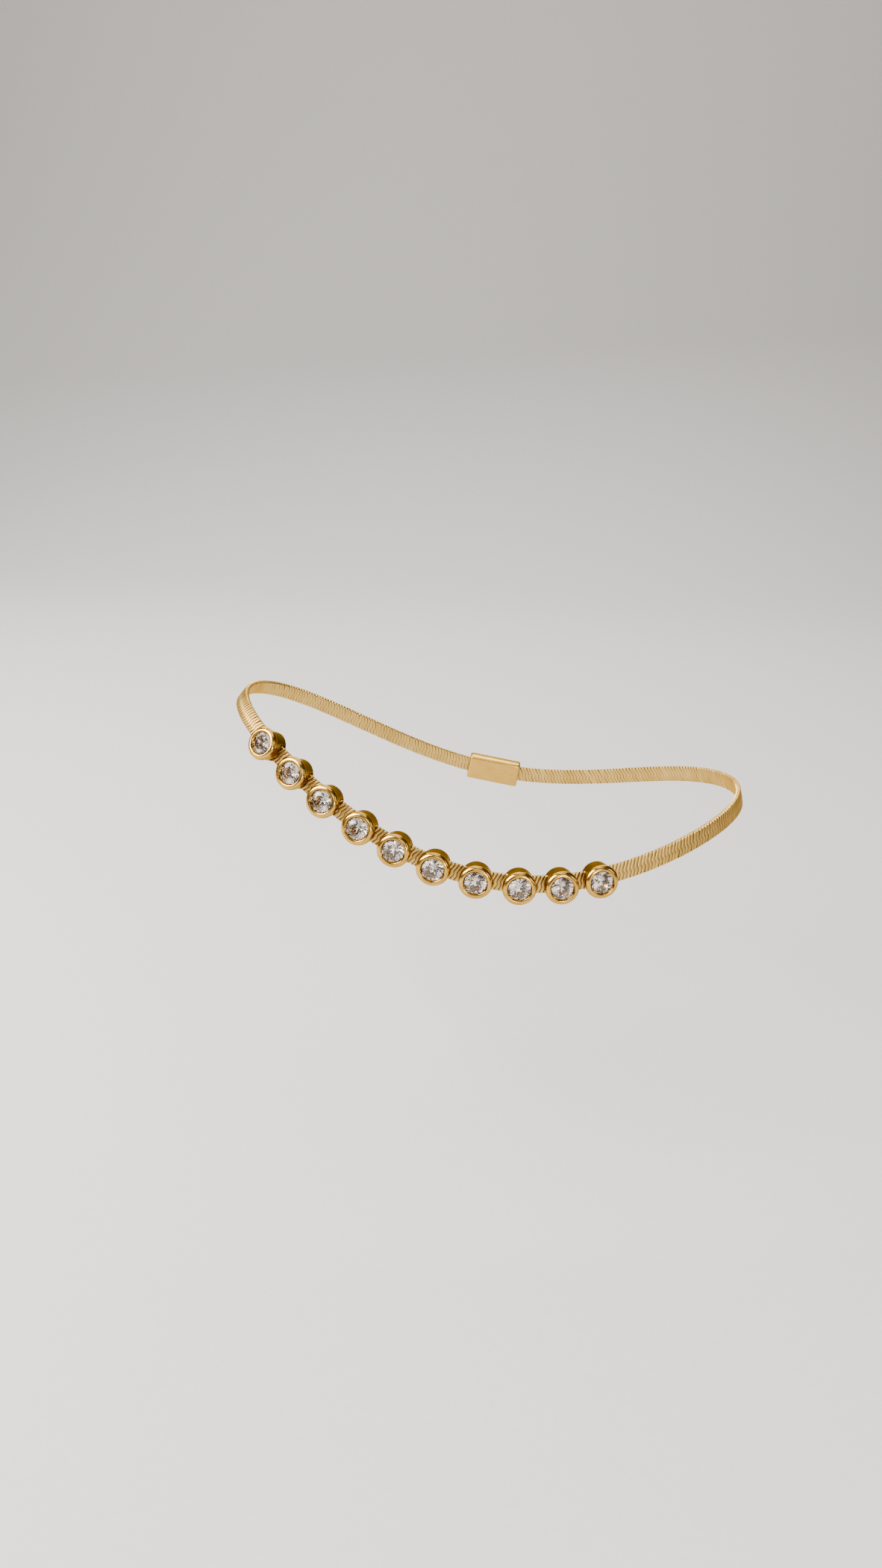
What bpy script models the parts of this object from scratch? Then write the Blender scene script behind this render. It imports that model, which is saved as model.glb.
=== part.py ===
"""Charm anklet in its worn form: a flat snake chain closed to a loop by one clasp, with ten round
crystal sliders threaded on its near side. Metres, +Z up, -X to the high end, -Y to the near side.
The origin is the centre of the loop's opening, level with the band at both sides."""

import math

import bmesh
import bpy
import numpy as np
from mathutils import Matrix, Vector

# The loop, along the middle of the band
LOOP_LENGTH = 0.0951
LOOP_WIDTH = 0.0570
HEEL_RISE = 0.0078
INSTEP_RISE = 0.0238
SHOULDER_RISE = 0.00125

# How far the band's outer face is tipped up, in degrees
LEAN_SIDE = 5.0
LEAN_HEEL = 14.0
LEAN_INSTEP = 39.0

# The flat snake chain
BAND_WIDTH = 0.0032
BAND_THICKNESS = 0.00095
BAND_EDGE = 0.00028
SECTION_SPACING = 0.0017

# The round crystals
STONE_RADIUS = 0.0020
GIRDLE_HEIGHT = 0.00012
STONE_SIDES = 16
# Cut of the crystals, as shares of their radius
TABLE_SHARE = 0.56
CROWN_SHARE = 0.30
PAVILION_SHARE = 0.80
CULET_SHARE = 0.06

# The sliders: rolled rim, cup, slot for the band and back plate
BEZEL_RADIUS = 0.0030
RIM_PROUD = 0.0003
RIM_RISE = 0.00075
RIM_CREST = 0.00072
SEAT_PLAY = 0.00006
LIP_HOLD = 0.00007
GIRDLE_RISE = 0.0003
CUP_FLOOR = 0.00025
CULET_PLAY = 0.0001
SLOT_PLAY = 0.0001
BACK_PLATE = 0.0003
BACK_EDGE = 0.00015
BEZEL_SIDES = 20
ARC_STEPS = 4

# Where the row of sliders lies along the band, from the middle of the near side
ROW_MIDDLE = -0.0130
BEZEL_SPACE = 0.00139
# Space before each next slider, as shares of BEZEL_SPACE
SPACE_SHARES = (1.29, 1.08, 1.28, 0.84, 0.96, 1.08, 1.04, 0.87, 0.56)

# The clasp, in the middle of the far side
CLASP_LENGTH = 0.0110
CLASP_WALL = 0.0006
CLASP_ROUND = 0.0005
SOCKET_DEPTH = 0.0022
END_PLAY = 0.0003

GOLD = (0.83, 0.60, 0.27, 1.0)
SATIN_GOLD = (0.78, 0.58, 0.31, 1.0)
CRYSTAL = (0.93, 0.92, 0.93, 1.0)


def clear_scene():
    for obj in list(bpy.data.objects):
        bpy.data.objects.remove(obj)


def new_collection(name, hidden=False):
    collection = bpy.data.collections.new(name)
    bpy.context.scene.collection.children.link(collection)
    collection.hide_render = hidden
    return collection


def new_material(name, colour, roughness, metallic):
    material = bpy.data.materials.new(name)
    material.use_nodes = True
    shader = material.node_tree.nodes["Principled BSDF"]
    shader.inputs["Base Color"].default_value = colour
    shader.inputs["Roughness"].default_value = roughness
    shader.inputs["Metallic"].default_value = metallic
    material.diffuse_color = colour
    return material


def hide_guide(obj):
    obj.hide_render = True
    obj.display_type = "WIRE"


# The loop as a curve: turn is 90 degrees at the far side, 180 at the high end, 270 at the near side
# and 360 at the low end, and the band is placed by its distance along the loop from the far side.
def route_point(turn):
    across = math.cos(turn)
    mean_rise = (INSTEP_RISE + HEEL_RISE) / 2
    slope = (INSTEP_RISE - HEEL_RISE) / 2
    return Vector(
        (
            LOOP_LENGTH / 2 * across,
            LOOP_WIDTH / 2 * math.sin(turn),
            mean_rise * across**2 - slope * across + SHOULDER_RISE * math.sin(2 * turn) ** 2,
        )
    )


TABLE_STEPS = 3600
TURNS = np.linspace(0.5 * math.pi, 2.5 * math.pi, TABLE_STEPS + 1)
ROUTE = np.array([route_point(turn) for turn in TURNS])
DISTANCES = np.append(0.0, np.cumsum(np.linalg.norm(np.diff(ROUTE, axis=0), axis=1)))
WHOLE_LOOP = float(DISTANCES[-1])
NEAR_MIDDLE = float(np.interp(1.5 * math.pi, TURNS, DISTANCES))


def lean_at(turn):
    across = math.cos(turn)
    end = LEAN_INSTEP if across < 0 else LEAN_HEEL
    return math.radians(LEAN_SIDE + (end - LEAN_SIDE) * across**2)


def band_frame(distance):
    """The place on the band's middle line, with local X along it, Y across it and Z out of it."""
    turn = float(np.interp(distance, DISTANCES, TURNS))
    step = math.radians(0.05)
    along = (route_point(turn + step) - route_point(turn - step)).normalized()
    level_out = Vector((along.y, -along.x, 0.0)).normalized()
    level_up = level_out.cross(along)
    lean = lean_at(turn)
    out = level_out * math.cos(lean) + level_up * math.sin(lean)
    across = out.cross(along)
    frame = Matrix((along, across, out)).transposed().to_4x4()
    frame.translation = route_point(turn)
    return frame


def band_section():
    """The corners of the band's section: across it first, then out of it."""
    half_width = BAND_WIDTH / 2
    half_thick = BAND_THICKNESS / 2
    corners = [
        (half_width, half_thick - BAND_EDGE),
        (half_width - BAND_EDGE, half_thick),
        (BAND_EDGE - half_width, half_thick),
        (-half_width, half_thick - BAND_EDGE),
    ]
    return corners + [(-across, -out) for across, out in corners]


def reach_of_band(frame, start, end):
    """How far the bent band reaches in a straight slot, across it and out of it either way."""
    into = frame.inverted()
    across_reach = 0.0
    out_reach = 0.0
    for distance in np.linspace(start, end, 13):
        place = into @ band_frame(distance)
        for across, out in band_section():
            corner = place @ Vector((0.0, across, out))
            across_reach = max(across_reach, abs(corner.y))
            out_reach = max(out_reach, abs(corner.z))
    return across_reach, out_reach


def bezel_distances():
    spaces = [BEZEL_SPACE * share for share in SPACE_SHARES]
    steps = np.cumsum([0.0] + [2 * BEZEL_RADIUS + space for space in spaces])
    return NEAR_MIDDLE + ROW_MIDDLE + steps - steps[-1] / 2


# The band: a flat section swept along the loop, tipped by each point's tilt
def make_band(parts, guides, material):
    start = CLASP_LENGTH / 2 - SOCKET_DEPTH + END_PLAY
    count = round((WHOLE_LOOP - 2 * start) / SECTION_SPACING)
    section = bpy.data.curves.new("band_section", "CURVE")
    section.dimensions = "2D"
    outline = section.splines.new("POLY")
    outline.points.add(len(band_section()) - 1)
    for point, (across, out) in zip(outline.points, band_section()):
        point.co = (out, across, 0.0, 1.0)
    outline.use_cyclic_u = True
    section_guide = bpy.data.objects.new("band_section", section)
    guides.objects.link(section_guide)
    hide_guide(section_guide)

    path = bpy.data.curves.new("snake_band", "CURVE")
    path.dimensions = "3D"
    path.twist_mode = "Z_UP"
    path.bevel_mode = "OBJECT"
    path.bevel_object = section_guide
    path.use_fill_caps = True
    spline = path.splines.new("POLY")
    spline.points.add(count)
    for point, distance in zip(spline.points, np.linspace(start, WHOLE_LOOP - start, count + 1)):
        turn = float(np.interp(distance, DISTANCES, TURNS))
        point.co = (*route_point(turn), 1.0)
        point.tilt = -lean_at(turn)
    band = bpy.data.objects.new("snake_band", path)
    band.data.materials.append(material)
    parts.objects.link(band)
    return band


# The crystals: a round brilliant with its girdle level at the origin
def stone_mesh(material):
    table = STONE_RADIUS * TABLE_SHARE
    rings = [
        (table, GIRDLE_HEIGHT / 2 + STONE_RADIUS * CROWN_SHARE, STONE_SIDES // 2),
        (STONE_RADIUS, GIRDLE_HEIGHT / 2, STONE_SIDES),
        (STONE_RADIUS, -GIRDLE_HEIGHT / 2, STONE_SIDES),
        (STONE_RADIUS * CULET_SHARE, -pavilion_depth(), STONE_SIDES // 2),
    ]
    stone = bmesh.new()
    for radius, level, sides in rings:
        circle = bmesh.ops.create_circle(stone, segments=sides, radius=radius)
        bmesh.ops.translate(stone, verts=circle["verts"], vec=(0.0, 0.0, level))
    hull = bmesh.ops.convex_hull(stone, input=stone.verts)
    left_over = set(hull["geom_interior"]) | set(hull["geom_unused"])
    bmesh.ops.delete(stone, geom=list(left_over), context="VERTS")
    bmesh.ops.recalc_face_normals(stone, faces=stone.faces)
    mesh = bpy.data.meshes.new("stone")
    stone.to_mesh(mesh)
    stone.free()
    mesh.materials.append(material)
    return mesh


def pavilion_depth():
    return GIRDLE_HEIGHT / 2 + STONE_RADIUS * PAVILION_SHARE


# Heights in a slider, from the middle of the band outwards
def slider_levels():
    reaches = []
    for distance in bezel_distances():
        frame = band_frame(distance)
        reaches.append(reach_of_band(frame, distance - BEZEL_RADIUS, distance + BEZEL_RADIUS))
    slot_half_width = max(across for across, out in reaches) + SLOT_PLAY
    slot_half_height = max(out for across, out in reaches) + SLOT_PLAY
    floor = slot_half_height + CUP_FLOOR
    girdle = floor + CULET_PLAY + pavilion_depth()
    return slot_half_width, slot_half_height, floor, girdle


def slider_profile(slot_half_height, floor, girdle):
    """Half of the slider's section, from the cup's floor over the rim and down the outside."""
    widest = girdle - GIRDLE_RISE
    wall_radius = BEZEL_RADIUS - RIM_PROUD
    back = -slot_half_height - BACK_PLATE
    seat_radius = STONE_RADIUS + SEAT_PLAY
    seat_top = girdle + GIRDLE_HEIGHT / 2 + SEAT_PLAY
    lip_radius = STONE_RADIUS - LIP_HOLD
    crest_radius = BEZEL_RADIUS - RIM_CREST
    crest = widest + RIM_RISE
    profile = [
        (0.0, floor),
        (STONE_RADIUS * CULET_SHARE + 2 * SEAT_PLAY, floor),
        (seat_radius, girdle - GIRDLE_HEIGHT / 2 - SEAT_PLAY),
        (seat_radius, seat_top),
        (lip_radius, seat_top),
        (lip_radius, seat_top + SEAT_PLAY),
        ((lip_radius + crest_radius) / 2, crest - (crest - seat_top) / 3),
    ]
    for step in range(ARC_STEPS + 1):
        angle = math.pi / 2 * (1 - step / ARC_STEPS)
        radius = crest_radius + RIM_CREST * math.cos(angle)
        profile.append((radius, widest + RIM_RISE * math.sin(angle)))
    profile += [
        (wall_radius, widest - 2 * RIM_PROUD),
        (wall_radius, back + BACK_EDGE),
        (wall_radius - BACK_EDGE, back),
        (0.0, back),
    ]
    return profile


def bezel_mesh(guides, material):
    """A turned cup, with a straight slot cut through it for the band."""
    slot_half_width, slot_half_height, floor, girdle = slider_levels()
    profile = slider_profile(slot_half_height, floor, girdle)
    outline = bpy.data.meshes.new("slider_profile")
    points = [(radius, 0.0, level) for radius, level in profile]
    outline.from_pydata(points, [(n, n + 1) for n in range(len(points) - 1)], [])
    turned = bpy.data.objects.new("slider_profile", outline)
    guides.objects.link(turned)
    hide_guide(turned)
    screw = turned.modifiers.new("turn", "SCREW")
    screw.axis = "Z"
    screw.steps = BEZEL_SIDES
    screw.render_steps = BEZEL_SIDES
    screw.use_merge_vertices = True
    screw.merge_threshold = 0.000001

    bpy.ops.mesh.primitive_cube_add(size=1.0)
    slot = bpy.context.object
    slot.name = "slider_slot"
    slot.scale = (4 * BEZEL_RADIUS, 2 * slot_half_width, 2 * slot_half_height)
    bpy.ops.object.transform_apply(scale=True)
    move_to(slot, guides)
    hide_guide(slot)
    cut = turned.modifiers.new("slot", "BOOLEAN")
    cut.operation = "DIFFERENCE"
    cut.object = slot

    bpy.context.view_layer.update()
    graph = bpy.context.evaluated_depsgraph_get()
    mesh = bpy.data.meshes.new_from_object(turned.evaluated_get(graph))
    mesh.name = "bezel"
    mesh.materials.clear()
    mesh.materials.append(material)
    mesh.shade_smooth()
    mesh.set_sharp_from_angle(angle=math.radians(32))
    bpy.data.objects.remove(turned)
    return mesh


def move_to(obj, collection):
    for home in list(obj.users_collection):
        home.objects.unlink(obj)
    collection.objects.link(obj)


def make_sliders(parts, guides, bezel_gold, crystal):
    bezel = bezel_mesh(guides, bezel_gold)
    stone = stone_mesh(crystal)
    girdle = slider_levels()[3]
    made = []
    for number, distance in enumerate(bezel_distances(), start=1):
        frame = band_frame(distance)
        setting = bpy.data.objects.new(f"bezel_{number:02d}", bezel)
        setting.matrix_world = frame
        crystal_stone = bpy.data.objects.new(f"stone_{number:02d}", stone)
        crystal_stone.matrix_world = frame @ Matrix.Translation((0.0, 0.0, girdle))
        for piece in (setting, crystal_stone):
            parts.objects.link(piece)
            made.append(piece)
    return made


# The clasp: a plain rounded bar with a socket in each end for the band
def make_clasp(parts, guides, material):
    frame = band_frame(0.0)
    half_length = CLASP_LENGTH / 2
    half_width, half_height = 0.0, 0.0
    for side_start in (0.0, WHOLE_LOOP - half_length):
        across, out = reach_of_band(frame, side_start, side_start + half_length)
        half_width = max(half_width, across + SLOT_PLAY)
        half_height = max(half_height, out + SLOT_PLAY)
    bpy.ops.mesh.primitive_cube_add(size=1.0)
    clasp = bpy.context.object
    clasp.name = "clasp"
    clasp.scale = (CLASP_LENGTH, 2 * (half_width + CLASP_WALL), 2 * (half_height + CLASP_WALL))
    bpy.ops.object.transform_apply(scale=True)
    rounding = clasp.modifiers.new("rounding", "BEVEL")
    rounding.width = CLASP_ROUND
    rounding.segments = 2
    rounding.limit_method = "ANGLE"
    clasp.matrix_world = frame
    move_to(clasp, parts)
    clasp.data.materials.append(material)
    for side in (-1, 1):
        bpy.ops.mesh.primitive_cube_add(size=1.0)
        socket = bpy.context.object
        socket.name = "clasp_socket"
        socket.scale = (2 * SOCKET_DEPTH, 2 * half_width, 2 * half_height)
        bpy.ops.object.transform_apply(scale=True)
        socket.matrix_world = frame @ Matrix.Translation((side * half_length, 0.0, 0.0))
        move_to(socket, guides)
        hide_guide(socket)
        cut = clasp.modifiers.new("socket", "BOOLEAN")
        cut.operation = "DIFFERENCE"
        cut.object = socket
    return clasp


def build():
    clear_scene()
    parts = new_collection("charm_anklet")
    guides = new_collection("cutters_and_guides", hidden=True)
    bezel_gold = new_material("polished_gold_plate", GOLD, 0.16, 1.0)
    band_gold = new_material("satin_gold_plate", SATIN_GOLD, 0.34, 1.0)
    crystal = new_material("clear_crystal", CRYSTAL, 0.03, 0.0)
    made = [make_band(parts, guides, band_gold)]
    made += make_sliders(parts, guides, bezel_gold, crystal)
    made.append(make_clasp(parts, guides, bezel_gold))
    ankle = bpy.data.objects.new("ankle_centre", None)
    ankle.empty_display_size = LOOP_WIDTH / 4
    parts.objects.link(ankle)
    for piece in made:
        piece.parent = ankle


build()
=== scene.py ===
import math

import bmesh
import bpy
import numpy as np
from mathutils import Matrix, Vector


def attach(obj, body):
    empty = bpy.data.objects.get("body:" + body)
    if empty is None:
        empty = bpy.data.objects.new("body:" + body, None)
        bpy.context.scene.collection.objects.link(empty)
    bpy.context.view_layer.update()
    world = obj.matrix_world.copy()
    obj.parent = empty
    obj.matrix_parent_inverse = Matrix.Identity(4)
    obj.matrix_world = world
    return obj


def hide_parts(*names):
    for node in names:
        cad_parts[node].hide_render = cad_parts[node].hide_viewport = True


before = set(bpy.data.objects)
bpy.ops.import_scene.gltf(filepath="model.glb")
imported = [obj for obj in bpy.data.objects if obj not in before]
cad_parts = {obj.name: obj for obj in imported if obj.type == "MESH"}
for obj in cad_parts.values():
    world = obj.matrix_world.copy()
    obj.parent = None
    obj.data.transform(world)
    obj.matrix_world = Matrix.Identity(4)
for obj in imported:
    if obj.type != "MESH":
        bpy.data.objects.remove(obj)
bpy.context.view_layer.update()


# The chain: a flat snake chain of brass, gold-plated to a satin finish. Each link is a narrow strip
# bent to a slow S and closed round to the back, pressed flat against its neighbours so that only
# thin slanting gaps show. It is one closed oval, lowest at both sides and highest at its -X end.
LOOP_LENGTH = 0.0951
LOOP_WIDTH = 0.0570
HEEL_RISE = 0.0078
INSTEP_RISE = 0.0238
SHOULDER_RISE = 0.00125
TABLE_STEPS = 3600
TANGENT_STEP = 0.05
# How far the chain's outer face is tipped up, in degrees
LEAN_SIDE = 5.0
LEAN_HEEL = 14.0
LEAN_INSTEP = 39.0
BAND_WIDTH = 0.0032
BAND_THICKNESS = 0.00095
# The first link's place, from the middle of the clasp
BAND_START = 0.0036
# A link is narrow at both faces and full halfway through, where it meets its neighbours
LINK_SPACING = 0.00070
LINK_WIDTH = 0.00062
LINK_BELLY = 0.00072
LINK_EDGE = 0.00014
LINK_EDGE_DROP = 0.00006
# One link from its lower end to its upper end: place across the band, then the shift along the
# band, and the shares of full width and full thickness that it has there
LINK_ACROSS = (-0.00160, -0.00147, -0.00050, -0.00026, 0.00004, 0.00028, 0.00147, 0.00160)
LINK_SHIFT = (-0.00051, -0.00045, 0.00005, 0.00007, -0.00007, -0.00005, 0.00054, 0.00059)
LINK_WIDTHS = (0.42, 0.88, 1.0, 1.0, 1.0, 1.0, 0.88, 0.42)
LINK_THICKS = (0.46, 0.86, 1.0, 1.0, 1.0, 1.0, 0.86, 0.46)
# Towards a link's ends the belly narrows by its width's share to this power
BELLY_TAPER = 0.15
# How far a link strays from true, turned in the chain's face and rocked along it, in degrees
LINK_SWAY = 1.1
LINK_ROCK = 0.9
LINK_SEED = 7
LINK_CREASE = 38.0
# As shares of half the chain's width: where a link's polished end starts, and where the painted
# shade in its gap stops
POLISH_START = 0.7
GAP_SHADE_STOP = 0.99
# Places that are nearer than this are the same
TINY = 1e-8
SATIN_DEEP = (0.53, 0.32, 0.074, 1.0)
SATIN_PALE = (0.69, 0.462, 0.138, 1.0)
# Painted shade: the near-black mixed into the gaps between links
SATIN_GAP_PAINTED_SHADE = (0.10, 0.045, 0.012, 1.0)
GOLD_EDGE = (0.82, 0.62, 0.35, 1.0)
# How far a link's own tone and the clouds over the chain each go from deep to pale
LINK_TINT = 0.40
CLOUD_TINT = 0.60
# Patterns are sized in marks to the metre, and their noise keeps mostly between low and high
NOISE_LOW = 0.3
NOISE_HIGH = 0.7
SATIN_CLOUDS = 260.0
SATIN_GRAIN = 32000.0
SATIN_SMOOTH = 0.38
SATIN_ROUGH = 0.47
END_POLISH = 0.12
GRAIN_BUMP = 0.15
GRAIN_DEPTH = 0.000004


def route_point(turn):
    across = math.cos(turn)
    mean_rise = (INSTEP_RISE + HEEL_RISE) / 2
    slope = (INSTEP_RISE - HEEL_RISE) / 2
    rise = mean_rise * across**2 - slope * across + SHOULDER_RISE * math.sin(2 * turn) ** 2
    return Vector((LOOP_LENGTH / 2 * across, LOOP_WIDTH / 2 * math.sin(turn), rise))


TURNS = np.linspace(0.5 * math.pi, 2.5 * math.pi, TABLE_STEPS + 1)
ROUTE = np.array([route_point(turn) for turn in TURNS])
DISTANCES = np.append(0.0, np.cumsum(np.linalg.norm(np.diff(ROUTE, axis=0), axis=1)))
WHOLE_LOOP = float(DISTANCES[-1])


def band_frame(distance):
    """The place on the chain's middle line, with local X along it, Y across it and Z out of it."""
    turn = float(np.interp(distance, DISTANCES, TURNS))
    step = math.radians(TANGENT_STEP)
    along = (route_point(turn + step) - route_point(turn - step)).normalized()
    level_out = Vector((along.y, -along.x, 0.0)).normalized()
    level_up = level_out.cross(along)
    end_lean = LEAN_INSTEP if math.cos(turn) < 0 else LEAN_HEEL
    lean = math.radians(LEAN_SIDE + (end_lean - LEAN_SIDE) * math.cos(turn) ** 2)
    out = level_out * math.cos(lean) + level_up * math.sin(lean)
    place = Matrix((along, out.cross(along), out)).transposed().to_4x4()
    place.translation = route_point(turn)
    return place


def whole(shape):
    return [*shape.verts, *shape.edges, *shape.faces]


def round_edges(shape, edges, width, segments):
    bmesh.ops.bevel(
        shape,
        geom=edges,
        offset=width,
        segments=segments,
        affect="EDGES",
        profile=0.5,
        material=-1,
    )


def one_link():
    """A link of the chain lying flat: a bevelled bar with stations across it, bent to its S."""
    link = bmesh.new()
    bmesh.ops.create_cube(link, size=1.0)
    bmesh.ops.scale(link, vec=(LINK_WIDTH, BAND_WIDTH, BAND_THICKNESS), verts=link.verts)
    top_edges = []
    for edge in link.edges:
        first, second = edge.verts
        if first.co.z > 0 and second.co.z > 0 and abs(first.co.x - second.co.x) < TINY:
            top_edges.append(edge)
    round_edges(link, top_edges, LINK_EDGE, segments=1)
    for vert in link.verts:
        if vert.co.z > 0 and abs(vert.co.x) > LINK_WIDTH / 2 - TINY:
            vert.co.z = BAND_THICKNESS / 2 - LINK_EDGE_DROP
    bmesh.ops.bisect_plane(link, geom=whole(link), plane_co=(0, 0, 0), plane_no=(0, 0, 1))
    for vert in link.verts:
        if abs(vert.co.z) < TINY:
            vert.co.x = math.copysign(LINK_BELLY / 2, vert.co.x)
    for across in LINK_ACROSS[1:-1]:
        bmesh.ops.bisect_plane(
            link, geom=whole(link), plane_co=(0, across, 0), plane_no=(0, 1, 0)
        )
    for vert in link.verts:
        across = vert.co.y
        share = np.interp(across, LINK_ACROSS, LINK_WIDTHS)
        in_belly = abs(vert.co.z) < TINY
        vert.co.x *= share**BELLY_TAPER if in_belly else share
        vert.co.x += np.interp(across, LINK_ACROSS, LINK_SHIFT)
        vert.co.z *= np.interp(across, LINK_ACROSS, LINK_THICKS)
    bmesh.ops.recalc_face_normals(link, faces=link.faces)
    return link


def add_marks(mesh, name, values):
    """A number for each corner of the mesh, which a material can read by its name."""
    marks = mesh.attributes.new(name, "FLOAT", "POINT")
    marks.data.foreach_set("value", values)


def smooth_up_to(mesh, crease):
    mesh.shade_smooth()
    mesh.set_sharp_from_angle(angle=math.radians(crease))


def add_piece(name, mesh, node):
    piece = bpy.data.objects.new(name, mesh)
    bpy.context.scene.collection.objects.link(piece)
    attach(piece, "root")
    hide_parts(node)


def chain_mesh():
    link = one_link()
    link.verts.ensure_lookup_table()
    corners = np.array([vert.co for vert in link.verts])
    sides = [[vert.index for vert in face.verts] for face in link.faces]
    link.free()
    count = round((WHOLE_LOOP - 2 * BAND_START) / LINK_SPACING)
    spacing = (WHOLE_LOOP - 2 * BAND_START) / count
    chance = np.random.default_rng(LINK_SEED)
    points = []
    faces = []
    tones = []
    for number in range(count):
        sway = Matrix.Rotation(math.radians(chance.normal(0.0, LINK_SWAY)), 4, "Z")
        rock = Matrix.Rotation(math.radians(chance.normal(0.0, LINK_ROCK)), 4, "Y")
        place = np.array(band_frame(BAND_START + spacing * (number + 0.5)) @ sway @ rock)
        first = number * len(corners)
        points.append(corners @ place[:3, :3].T + place[:3, 3])
        faces += [[first + corner for corner in side] for side in sides]
        tones += [chance.uniform(0.0, 1.0)] * len(corners)
    mesh = bpy.data.meshes.new("snake_chain")
    mesh.from_pydata(np.concatenate(points), [], faces)
    reach = np.abs(corners[:, 1]) / (BAND_WIDTH / 2)
    ends = np.clip((reach - POLISH_START) / (1 - POLISH_START), 0, 1)
    # The corners halfway through each link, inside the gaps, get painted shade
    gap_painted_shade = (np.abs(corners[:, 2]) < TINY) & (reach < GAP_SHADE_STOP)
    add_marks(mesh, "link_tone", tones)
    add_marks(mesh, "link_end", np.tile(ends, count))
    add_marks(mesh, "link_gap_painted_shade", np.tile(gap_painted_shade.astype(float), count))
    smooth_up_to(mesh, LINK_CREASE)
    return mesh


def new_material(name):
    material = bpy.data.materials.new(name)
    material.use_nodes = True
    return material, material.node_tree.nodes["Principled BSDF"]


def new_gold(name):
    material, shader = new_material(name)
    shader.inputs["Metallic"].default_value = 1.0
    shader.inputs["Specular Tint"].default_value = GOLD_EDGE
    return material, shader


def add_node(material, kind, settings=(), **sockets):
    node = material.node_tree.nodes.new(kind)
    for setting, value in dict(settings).items():
        setattr(node, setting, value)
    for socket, value in sockets.items():
        node.inputs[socket].default_value = value
    return node


def join(material, out, into):
    material.node_tree.links.new(out, into)


def read_marks(material, name):
    return add_node(material, "ShaderNodeAttribute", {"attribute_name": name}).outputs["Fac"]


def speckle(material, scale, detail, stretch=(1.0, 1.0, 1.0), lie=(0.0, 0.0, 0.0)):
    """A noise pattern fixed to the metal, with so many marks to the metre.

    Stretch is their size along each axis as a share, and lie turns those axes, in radians."""
    place = add_node(material, "ShaderNodeTexCoord")
    turned = add_node(material, "ShaderNodeMapping", {"vector_type": "TEXTURE"})
    turned.inputs["Rotation"].default_value = lie
    turned.inputs["Scale"].default_value = stretch
    noise = add_node(material, "ShaderNodeTexNoise", Scale=scale, Detail=detail)
    join(material, place.outputs["Object"], turned.inputs["Vector"])
    join(material, turned.outputs["Vector"], noise.inputs["Vector"])
    return noise.outputs["Fac"]


def between(material, noise, low, high):
    """A plain number that goes from low to high with the noise."""
    ramp = add_node(material, "ShaderNodeMapRange")
    ramp.inputs["From Min"].default_value = NOISE_LOW
    ramp.inputs["From Max"].default_value = NOISE_HIGH
    ramp.inputs["To Min"].default_value = low
    ramp.inputs["To Max"].default_value = high
    join(material, noise, ramp.inputs["Value"])
    return ramp.outputs["Result"]


def weighted(material, value, weight, added):
    """A plain number: the value times its weight, with another number added."""
    total = add_node(material, "ShaderNodeMath", {"operation": "MULTIPLY_ADD"})
    join(material, value, total.inputs[0])
    total.inputs[1].default_value = weight
    join(material, added, total.inputs[2])
    return total.outputs["Value"]


def blend_colours(material, share, first, second):
    mix = add_node(material, "ShaderNodeMix", {"data_type": "RGBA"})
    colours = [socket for socket in mix.inputs if socket.type == "RGBA"]
    for socket, value in zip(colours, (first, second)):
        if isinstance(value, bpy.types.NodeSocket):
            join(material, value, socket)
        else:
            socket.default_value = value
    join(material, share, mix.inputs["Factor"])
    return [socket for socket in mix.outputs if socket.type == "RGBA"][0]


def add_bump(material, shader, height, strength, depth):
    bump = add_node(material, "ShaderNodeBump", Strength=strength, Distance=depth)
    join(material, height, bump.inputs["Height"])
    join(material, bump.outputs["Normal"], shader.inputs["Normal"])


def satin_gold():
    """Satin gold plate: a tone for each link, painted shade in the gaps and brighter at the links'
    ends.
    """
    material, shader = new_gold("satin_gold_plate")
    clouds = between(material, speckle(material, SATIN_CLOUDS, detail=3.0), 0.0, CLOUD_TINT)
    tint = weighted(material, read_marks(material, "link_tone"), LINK_TINT, clouds)
    colour = blend_colours(material, tint, SATIN_DEEP, SATIN_PALE)
    # Painted shade darkens the gaps between the links
    colour = blend_colours(material, read_marks(material, "link_gap_painted_shade"), colour, SATIN_GAP_PAINTED_SHADE)
    join(material, colour, shader.inputs["Base Color"])
    grain = speckle(material, SATIN_GRAIN, detail=3.0)
    rough = between(material, grain, SATIN_SMOOTH, SATIN_ROUGH)
    polished = weighted(material, read_marks(material, "link_end"), -END_POLISH, rough)
    join(material, polished, shader.inputs["Roughness"])
    add_bump(material, shader, grain, GRAIN_BUMP, GRAIN_DEPTH)
    return material


chain = chain_mesh()
chain.materials.append(satin_gold())
add_piece("snake_chain", chain, "snake_band")


# The ten sliders: cups of polished gold-plated brass, turned in one piece with a rolled rim, a seat
# for the stone, a straight wall and a flat back with a fine turned line. A slot is cut through the
# wall, and the chain runs through it.
BEZEL_RADIUS = 0.0030
WALL_RADIUS = 0.0027
CREST_RADIUS = 0.00228
STONE_RADIUS = 0.0020
SEAT_RADIUS = 0.00206
FLOOR_RADIUS = 0.00024
# Levels in a slider, from the middle of the chain outwards
BACK_LEVEL = -0.001002
SLOT_HALF_HEIGHT = 0.000702
CUP_FLOOR = 0.000952
RIM_WIDEST = 0.002412
GIRDLE_LEVEL = 0.002712
RIM_CREST = 0.003162
SLOT_HALF_WIDTH = 0.001784
SLOT_EDGE = 0.00005
SEAT_HALF = 0.00012
# The lip that holds the stone: radius, and height above the girdle's middle
LIP = (
    (0.00194, 0.00012),
    (0.00193, 0.00014),
    (0.00194, 0.00017),
    (0.00200, 0.00024),
    (0.00208, 0.00035),
    (0.00217, 0.00042),
)
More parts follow.
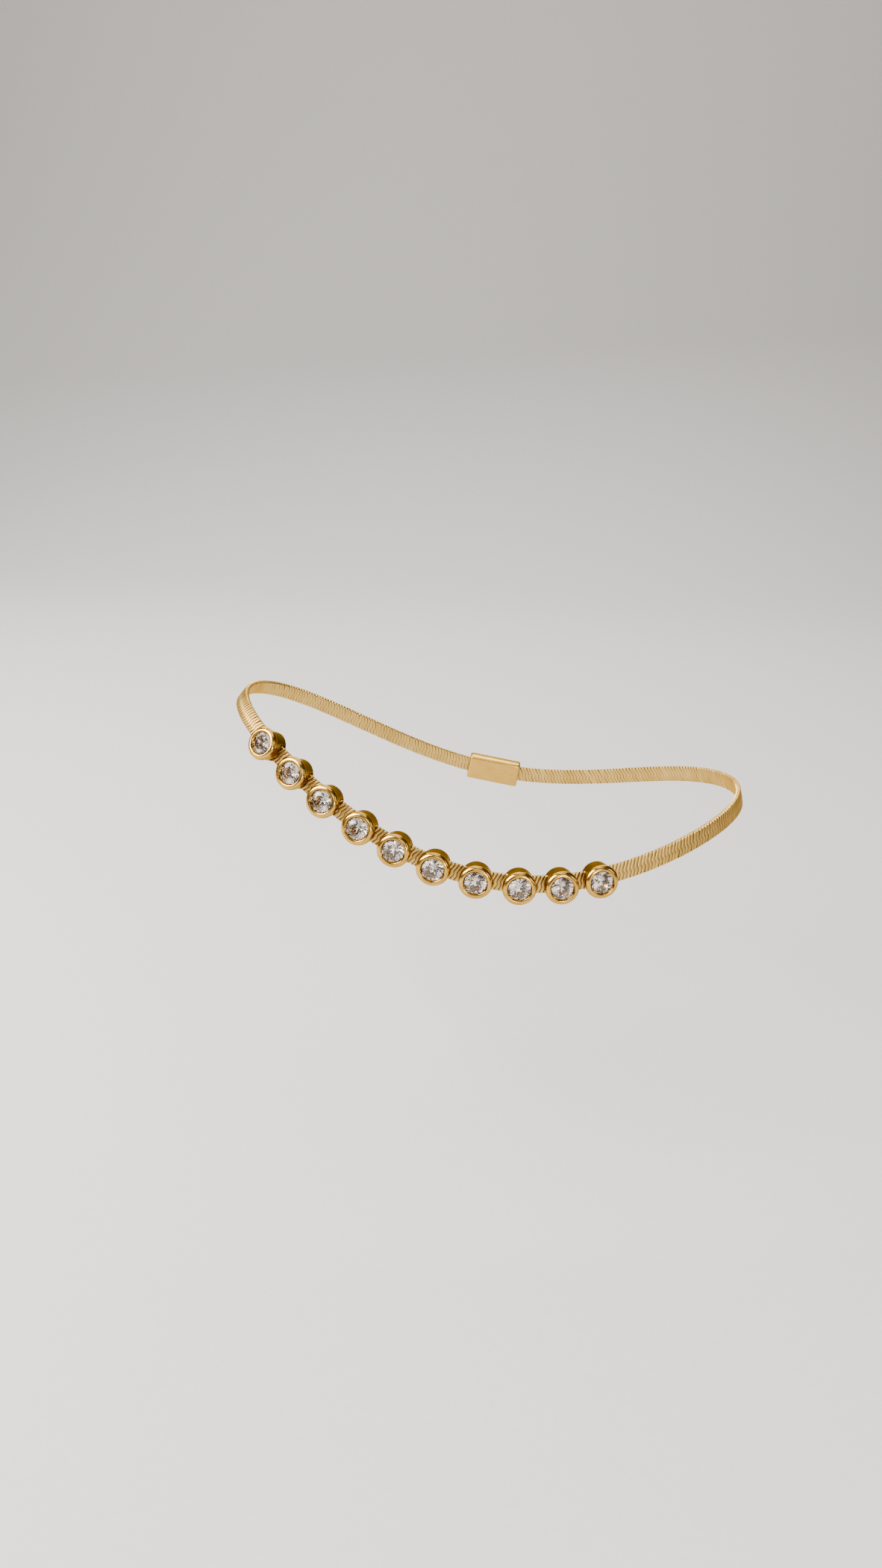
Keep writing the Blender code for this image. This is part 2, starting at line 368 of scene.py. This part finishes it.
# The rim curls back under itself as far as this angle, and the wall starts a little lower
UNDERSIDE = 0.00052
UNDERSIDE_STOP = -78.0
WALL_TOP_DROP = 0.00060
BACK_ROUND = 0.00015
GROOVE_OUTER = 0.00225
GROOVE_INNER = 0.00209
GROOVE_SLOPE = 0.00004
BACK_GROOVE = 0.00005
TURN_STEPS = 64
MERGE_DISTANCE = 1e-7
SLIDER_CREASE = 30.0
# Faces count as the outer wall where they are upright, this far out and this far below the rim
UPRIGHT = 0.05
WALL_INSIDE = 0.0024
WALL_CLEAR = 0.0005
# The row's middle, along the chain from the middle of the near side
ROW_MIDDLE = -0.0130
BEZEL_SPACE = 0.00139
# Space before each next slider, as shares of BEZEL_SPACE
SPACE_SHARES = (1.29, 1.08, 1.28, 0.84, 0.96, 1.08, 1.04, 0.87, 0.56)
GOLD_DEEP = (0.54, 0.305, 0.046, 1.0)
GOLD_PALE = (0.69, 0.43, 0.10, 1.0)
# Painted shade: the dark brown mixed into the sliders' walls, rim edges, recess, cup and back
GOLD_PAINTED_SHADE = (0.18, 0.085, 0.012, 1.0)
GOLD_CLOUDS = 420.0
GOLD_SCUFFS = 3600.0
SCUFF_BUMP = 0.06
SCUFF_DEPTH = 0.00001
SLIDER_SMOOTH = 0.15
SLIDER_ROUGH = 0.24
SLIDER_GRAIN = (1.0, 1.0, 0.33)
# How much painted shade and dark reflection darken the gold: at levels up the wall, and at radii on
# the rim and in the recess
BACK_PAINTED_SHADE = 0.2
CUP_PAINTED_SHADE = 0.9
WALL_PAINTED_SHADE = ((0.0019, 0.85), (RIM_WIDEST, 0.55))
RIM_PAINTED_SHADE = ((0.0024, 0.0), (0.0028, 0.22), (BEZEL_RADIUS, 0.55))
RECESS_PAINTED_SHADE = ((0.00212, 0.9), (0.00227, 0.0))


def arc(middle, reach, start, stop, steps):
    """Points of an ellipse's arc as (radius, level), from start to stop in degrees."""
    points = []
    for angle in np.radians(np.linspace(start, stop, steps + 1)):
        radius = middle[0] + reach[0] * math.cos(angle)
        points.append((radius, middle[1] + reach[1] * math.sin(angle)))
    return points


def slider_profile():
    """Half of the slider's section: floor, seat, lip, rim, wall and back, as (radius, level)."""
    profile = [
        (0.0, CUP_FLOOR),
        (FLOOR_RADIUS, CUP_FLOOR),
        (SEAT_RADIUS, GIRDLE_LEVEL - SEAT_HALF),
        (SEAT_RADIUS, GIRDLE_LEVEL + SEAT_HALF),
    ]
    profile += [(radius, GIRDLE_LEVEL + height) for radius, height in LIP]
    crest_reach = (BEZEL_RADIUS - CREST_RADIUS, RIM_CREST - RIM_WIDEST)
    profile += arc((CREST_RADIUS, RIM_WIDEST), crest_reach, 90, 0, steps=12)
    under_reach = (BEZEL_RADIUS - WALL_RADIUS, UNDERSIDE)
    profile += arc((WALL_RADIUS, RIM_WIDEST), under_reach, 0, UNDERSIDE_STOP, steps=6)[1:]
    corner = (WALL_RADIUS - BACK_ROUND, BACK_LEVEL + BACK_ROUND)
    profile += [
        (WALL_RADIUS, RIM_WIDEST - WALL_TOP_DROP),
        (WALL_RADIUS, BACK_LEVEL + BACK_ROUND),
    ]
    profile += arc(corner, (BACK_ROUND, BACK_ROUND), 0, -90, steps=4)[1:]
    profile += [
        (GROOVE_OUTER, BACK_LEVEL),
        (GROOVE_OUTER - GROOVE_SLOPE, BACK_LEVEL + BACK_GROOVE),
        (GROOVE_INNER + GROOVE_SLOPE, BACK_LEVEL + BACK_GROOVE),
        (GROOVE_INNER, BACK_LEVEL),
        (0.0, BACK_LEVEL),
    ]
    return profile


def is_wall(face):
    middle = face.calc_center_median()
    upright = abs(face.normal.z) < UPRIGHT
    low = middle.z < RIM_WIDEST - WALL_CLEAR
    return upright and low and middle.xy.length > WALL_INSIDE


def slider_shape():
    """The turned cup, cut open on both sides and joined through by the slot's four faces."""
    cup = bmesh.new()
    corners = [cup.verts.new((radius, 0.0, level)) for radius, level in slider_profile()]
    outline = [cup.edges.new(pair) for pair in zip(corners, corners[1:])]
    bmesh.ops.spin(
        cup,
        geom=corners + outline,
        cent=(0, 0, 0),
        axis=(0, 0, 1),
        angle=2 * math.pi,
        steps=TURN_STEPS,
        use_merge=True,
    )
    bmesh.ops.remove_doubles(cup, verts=cup.verts, dist=MERGE_DISTANCE)
    bmesh.ops.recalc_face_normals(cup, faces=cup.faces)
    cuts = [((0, side * SLOT_HALF_WIDTH, 0), (0, 1, 0)) for side in (-1, 1)]
    cuts += [((0, 0, side * SLOT_HALF_HEIGHT), (0, 0, 1)) for side in (-1, 1)]
    for place, facing in cuts:
        wall = [face for face in cup.faces if is_wall(face)]
        pieces = {part for face in wall for part in (*face.verts, *face.edges)}
        bmesh.ops.bisect_plane(cup, geom=[*wall, *pieces], plane_co=place, plane_no=facing)
    opening = []
    for face in cup.faces:
        middle = face.calc_center_median()
        in_width = abs(middle.y) < SLOT_HALF_WIDTH
        if is_wall(face) and in_width and abs(middle.z) < SLOT_HALF_HEIGHT:
            opening.append(face)
    bmesh.ops.delete(cup, geom=opening, context="FACES")
    slot_edges = [edge for edge in cup.edges if edge.is_boundary]
    bmesh.ops.bridge_loops(cup, edges=slot_edges)
    round_edges(cup, slot_edges, SLOT_EDGE, segments=2)
    bmesh.ops.recalc_face_normals(cup, faces=cup.faces)
    return cup


def bezel_places():
    """How far along the chain each slider sits."""
    spaces = [BEZEL_SPACE * share for share in SPACE_SHARES]
    steps = np.cumsum([0.0] + [2 * BEZEL_RADIUS + space for space in spaces])
    near_middle = float(np.interp(1.5 * math.pi, TURNS, DISTANCES))
    return near_middle + ROW_MIDDLE + steps - steps[-1] / 2


def gold_plate(name, smooth, rough, grain, lie=(0.0, 0.0, 0.0)):
    """Gold plate, its polish from smooth to rough, with fine scuffs drawn out along its grain and
    painted shade where a slider's corners carry it.
    """
    material, shader = new_gold(name)
    clouds = between(material, speckle(material, GOLD_CLOUDS, 2.0, grain, lie), 0.0, 1.0)
    colour = blend_colours(material, clouds, GOLD_DEEP, GOLD_PALE)
    # Painted shade, read from each slider's corners; the clasp has none
    colour = blend_colours(material, read_marks(material, "slider_painted_shade"), colour, GOLD_PAINTED_SHADE)
    join(material, colour, shader.inputs["Base Color"])
    scuffs = speckle(material, GOLD_SCUFFS, 5.0, grain, lie)
    join(material, between(material, scuffs, smooth, rough), shader.inputs["Roughness"])
    add_bump(material, shader, scuffs, SCUFF_BUMP, SCUFF_DEPTH)
    return material


def read_off(steps, place):
    return float(np.interp(place, *zip(*steps)))


def painted_shade_on_slider(place):
    """How much painted shade darkens the gold at a corner, from the recess over the rim to the back.
    """
    radius = place.xy.length
    # The back plate gets a little painted shade
    if place.z < BACK_LEVEL + 2 * BACK_GROOVE:
        return BACK_PAINTED_SHADE
    # Painted shade and dark reflection on the outer wall, deepest low down
    if place.z < RIM_WIDEST - TINY:
        return read_off(WALL_PAINTED_SHADE, place.z)
    # Painted dark reflection on the rim's outer edge
    if radius > CREST_RADIUS:
        return read_off(RIM_PAINTED_SHADE, radius)
    # Painted shade in the recess between the rim's crest and the stone
    if place.z > GIRDLE_LEVEL:
        return read_off(RECESS_PAINTED_SHADE, radius)
    # Painted shade in the hidden cup under the stone
    return CUP_PAINTED_SHADE


def finished_mesh(name, shape, *materials):
    mesh = bpy.data.meshes.new(name)
    shape.to_mesh(mesh)
    shape.free()
    for material in materials:
        mesh.materials.append(material)
    return mesh


slider_gold = gold_plate("polished_gold_plate", SLIDER_SMOOTH, SLIDER_ROUGH, SLIDER_GRAIN)
turned_cup = slider_shape()
# Each corner's share of painted shade
painted_shade_values = [painted_shade_on_slider(vert.co) for vert in turned_cup.verts]
for number, distance in enumerate(bezel_places(), start=1):
    slider = turned_cup.copy()
    bmesh.ops.transform(slider, matrix=band_frame(distance), verts=slider.verts)
    mesh = finished_mesh(f"slider_{number:02d}", slider, slider_gold)
    add_marks(mesh, "slider_painted_shade", painted_shade_values)
    smooth_up_to(mesh, SLIDER_CREASE)
    add_piece(f"slider_{number:02d}", mesh, f"bezel_{number:02d}")
turned_cup.free()


# The crystals: clear round brilliants, foiled behind so that their pavilions throw the light back.
# Table, stars, kites and girdle facets above, mains and lower girdle facets below; each is held by
# the lip that is rolled over its girdle.
TABLE_RADIUS = 0.00112
STAR_RADIUS = 0.00152
LOWER_RADIUS = 0.00060
CULET_RADIUS = 0.00012
GIRDLE_HALF = 0.00006
CROWN_HEIGHT = 0.0006
PAVILION_DEPTH = 0.00166
# Half the turn from one corner of an eight-sided ring to the next, in degrees
HALF_TURN = 22.5
# How near its middle the flat of an eight-sided ring lies, as a share of its radius
FLAT_SHARE = math.cos(math.radians(HALF_TURN))
# Facets that meet at less than this are one, in degrees
FACET_ANGLE = 0.8
# Each next crystal is set this much further round, in degrees
STONE_TWIST = 17.0
GLASS_COLOUR = (0.97, 0.97, 0.98, 1.0)
GLASS_INDEX = 1.58
GLASS_SMEARS = 1500.0
SMEAR_ROUGH = 0.05
FOIL_DEEP = (0.74, 0.66, 0.60, 1.0)
FOIL_PALE = (0.97, 0.91, 0.86, 1.0)
FOIL_CLOUDS = 700.0
FOIL_SMOOTH = 0.07
FOIL_ROUGH = 0.13


def crystal_shape():
    """A brilliant with its girdle level at the origin, as the hull of its rings of corners."""
    crown_slope = CROWN_HEIGHT / (STONE_RADIUS - TABLE_RADIUS)
    star_level = GIRDLE_HALF + (STONE_RADIUS - STAR_RADIUS * FLAT_SHARE) * crown_slope
    pavilion_slope = (PAVILION_DEPTH - GIRDLE_HALF) / (STONE_RADIUS - CULET_RADIUS)
    lower_reach = LOWER_RADIUS * FLAT_SHARE - CULET_RADIUS
    lower_level = -PAVILION_DEPTH + lower_reach * pavilion_slope
    rings = [
        (TABLE_RADIUS, GIRDLE_HALF + CROWN_HEIGHT, 8, 0.0),
        (STAR_RADIUS, star_level, 8, HALF_TURN),
        (STONE_RADIUS, GIRDLE_HALF, 16, 0.0),
        (STONE_RADIUS, -GIRDLE_HALF, 16, 0.0),
        (LOWER_RADIUS, lower_level, 8, HALF_TURN),
        (CULET_RADIUS, -PAVILION_DEPTH, 8, 0.0),
    ]
    stone = bmesh.new()
    for radius, level, count, offset in rings:
        ring = bmesh.ops.create_circle(stone, segments=count, radius=radius)
        turn = Matrix.Rotation(math.radians(offset), 4, "Z")
        lift = Matrix.Translation((0.0, 0.0, level))
        bmesh.ops.transform(stone, matrix=lift @ turn, verts=ring["verts"])
    hull = bmesh.ops.convex_hull(stone, input=stone.verts)
    spare = set(hull["geom_interior"]) | set(hull["geom_unused"])
    bmesh.ops.delete(stone, geom=list(spare), context="VERTS")
    bmesh.ops.dissolve_limit(
        stone, angle_limit=math.radians(FACET_ANGLE), verts=stone.verts, edges=stone.edges
    )
    bmesh.ops.recalc_face_normals(stone, faces=stone.faces)
    for face in stone.faces:
        face.material_index = 1 if face.calc_center_median().z < -GIRDLE_HALF else 0
    return stone


def clear_glass():
    material, shader = new_material("clear_crystal")
    shader.inputs["Base Color"].default_value = GLASS_COLOUR
    shader.inputs["Transmission Weight"].default_value = 1.0
    shader.inputs["IOR"].default_value = GLASS_INDEX
    smears = speckle(material, GLASS_SMEARS, detail=2.0)
    join(material, between(material, smears, 0.0, SMEAR_ROUGH), shader.inputs["Roughness"])
    return material


def silver_foil():
    material, shader = new_material("crystal_foil")
    shader.inputs["Metallic"].default_value = 1.0
    clouds = speckle(material, FOIL_CLOUDS, detail=1.0)
    colour = blend_colours(material, between(material, clouds, 0.0, 1.0), FOIL_DEEP, FOIL_PALE)
    join(material, colour, shader.inputs["Base Color"])
    join(material, between(material, clouds, FOIL_SMOOTH, FOIL_ROUGH), shader.inputs["Roughness"])
    return material


glass = clear_glass()
foil = silver_foil()
cut_stone = crystal_shape()
for number, distance in enumerate(bezel_places(), start=1):
    stone = cut_stone.copy()
    twist = Matrix.Rotation(math.radians(STONE_TWIST * number), 4, "Z")
    place = band_frame(distance) @ Matrix.Translation((0.0, 0.0, GIRDLE_LEVEL)) @ twist
    bmesh.ops.transform(stone, matrix=place, verts=stone.verts)
    mesh = finished_mesh(f"crystal_{number:02d}", stone, glass, foil)
    add_piece(f"crystal_{number:02d}", mesh, f"stone_{number:02d}")
cut_stone.free()


# The clasp: one plain closed bar of gold-plated brass on the far side, rounded over on all edges and
# brushed along its length. The two ends of the chain go into its sockets and stay there.
CLASP_LENGTH = 0.0110
CLASP_WIDTH = 0.005157
CLASP_HEIGHT = 0.002695
CLASP_ROUND = 0.0005
CLASP_CREASE = 30.0
SOCKET_DEPTH = 0.0022
SOCKET_RIM = 0.00006
SOCKET_TAPER = 0.00004
# A face is an end of the bar where its normal runs along it at least this far
END_FACING = 0.999
CLASP_SMOOTH = 0.16
CLASP_ROUGH = 0.28
BRUSHED_GRAIN = (1.0, 0.05, 0.05)


def clasp_shape():
    bar = bmesh.new()
    bmesh.ops.create_cube(bar, size=1.0)
    bmesh.ops.scale(bar, vec=(CLASP_LENGTH, CLASP_WIDTH, CLASP_HEIGHT), verts=bar.verts)
    round_edges(bar, bar.edges[:], CLASP_ROUND, segments=5)
    ends = [face for face in bar.faces if abs(face.normal.x) > END_FACING]
    bmesh.ops.inset_individual(bar, faces=ends, thickness=SOCKET_RIM)
    bmesh.ops.inset_individual(bar, faces=ends, thickness=SOCKET_TAPER, depth=-SOCKET_DEPTH)
    bmesh.ops.transform(bar, matrix=band_frame(0.0), verts=bar.verts)
    bmesh.ops.recalc_face_normals(bar, faces=bar.faces)
    return bar


brushing = band_frame(0.0).to_euler()
clasp_gold = gold_plate("brushed_gold_plate", CLASP_SMOOTH, CLASP_ROUGH, BRUSHED_GRAIN, brushing)
mesh = finished_mesh("clasp_bar", clasp_shape(), clasp_gold)
smooth_up_to(mesh, CLASP_CREASE)
add_piece("clasp_bar", mesh, "clasp")


# The studio: a pale sweep of card under and behind the piece. One broad soft light at the upper left
# does most of the work, with weak ones above, in front, behind and at the right, and a small one low
# in front for the glints in the crystals. The camera looks a little down on the near side.
FLOOR_LEVEL = -0.047
SWEEP_HALF_WIDTH = 1.6
SWEEP_HALF_LENGTH = 1.13
BEND_START = 0.45
BEND_RADIUS = 0.40
CARD_DEEP = (0.56, 0.55, 0.535, 1.0)
CARD_PALE = (0.61, 0.60, 0.585, 1.0)
CARD_GRAIN = 900.0
CARD_ROUGH = 0.85
# Each light's place, its width and height, its watts and its colour; all face the origin
LIGHTS = {
    "broad_light": ((-0.42, -0.20, 0.40), (0.48, 0.42), 14.5, (1.0, 0.97, 0.92)),
    "front_light": ((0.12, -0.58, 0.34), (0.42, 0.26), 1.0, (1.0, 0.95, 0.92)),
    "top_light": ((0.02, 0.02, 0.60), (0.50, 0.34), 1.8, (1.0, 0.97, 0.92)),
    "back_light": ((-0.06, 0.46, 0.40), (0.60, 0.24), 3.4, (1.0, 0.96, 0.90)),
    "side_light": ((0.42, -0.20, 0.16), (0.10, 0.20), 0.4, (1.0, 0.86, 0.72)),
    "glint_light": ((0.20, -0.55, 0.05), (0.09, 0.07), 0.9, (1.0, 0.98, 0.96)),
}
ROOM_COLOUR = (0.55, 0.54, 0.53, 1.0)
ROOM_STRENGTH = 0.20
CAMERA_PLACE = (0.005135, -0.217607, 0.087590)
CAMERA_DOWN = 20.357
CAMERA_TURN = 3.857
CAMERA_ROLL = 1.144
PICTURE_HEIGHT = 2102.0
LENS_IN_PIXELS = 1600.0
SENSOR_HEIGHT = 36.0
CAMERA_LENS = SENSOR_HEIGHT * LENS_IN_PIXELS / PICTURE_HEIGHT


def sweep_shape():
    """A long sheet of card, flat under the piece and bent up to a wall behind it."""
    sweep = bmesh.new()
    bmesh.ops.create_grid(sweep, x_segments=2, y_segments=48, size=1.0)
    bmesh.ops.scale(sweep, vec=(SWEEP_HALF_WIDTH, SWEEP_HALF_LENGTH, 1.0), verts=sweep.verts)
    for vert in sweep.verts:
        past = vert.co.y - BEND_START
        if past > 0:
            angle = min(past / BEND_RADIUS, math.pi / 2)
            spare = max(past - BEND_RADIUS * math.pi / 2, 0.0)
            vert.co.y = BEND_START + BEND_RADIUS * math.sin(angle)
            vert.co.z = BEND_RADIUS * (1 - math.cos(angle)) + spare
    bmesh.ops.translate(sweep, vec=(0.0, 0.0, FLOOR_LEVEL), verts=sweep.verts)
    return sweep


def pale_card():
    material, shader = new_material("pale_card")
    grain = speckle(material, CARD_GRAIN, detail=4.0)
    colour = blend_colours(material, grain, CARD_DEEP, CARD_PALE)
    join(material, colour, shader.inputs["Base Color"])
    shader.inputs["Roughness"].default_value = CARD_ROUGH
    return material


sweep_mesh = finished_mesh("sweep", sweep_shape(), pale_card())
sweep_mesh.shade_smooth()
floor = bpy.data.objects.new("sweep", sweep_mesh)
bpy.context.scene.collection.objects.link(floor)


def add_light(name, place, size, watts, colour):
    light = bpy.data.lights.new(name, "AREA")
    light.shape = "RECTANGLE"
    light.size, light.size_y = size
    light.energy = watts
    light.color = colour
    lamp = bpy.data.objects.new(name, light)
    lamp.location = place
    lamp.rotation_mode = "QUATERNION"
    lamp.rotation_quaternion = (-Vector(place)).to_track_quat("-Z", "Y")
    bpy.context.scene.collection.objects.link(lamp)


for name, (place, size, watts, colour) in LIGHTS.items():
    add_light(name, place, size, watts, colour)

world = bpy.data.worlds.new("room")
bpy.context.scene.world = world
world.use_nodes = True
room = world.node_tree.nodes["Background"]
room.inputs["Color"].default_value = ROOM_COLOUR
room.inputs["Strength"].default_value = ROOM_STRENGTH

camera_data = bpy.data.cameras.new("camera")
camera_data.lens = CAMERA_LENS
camera_data.clip_start = 0.01
camera_data.clip_end = 10.0
camera = bpy.data.objects.new("camera", camera_data)
turn = Matrix.Rotation(math.radians(CAMERA_TURN), 4, "Z")
tip = Matrix.Rotation(math.radians(90.0 - CAMERA_DOWN), 4, "X")
roll = Matrix.Rotation(math.radians(CAMERA_ROLL), 4, "Z")
camera.matrix_world = Matrix.Translation(CAMERA_PLACE) @ turn @ tip @ roll
bpy.context.scene.collection.objects.link(camera)
bpy.context.scene.camera = camera
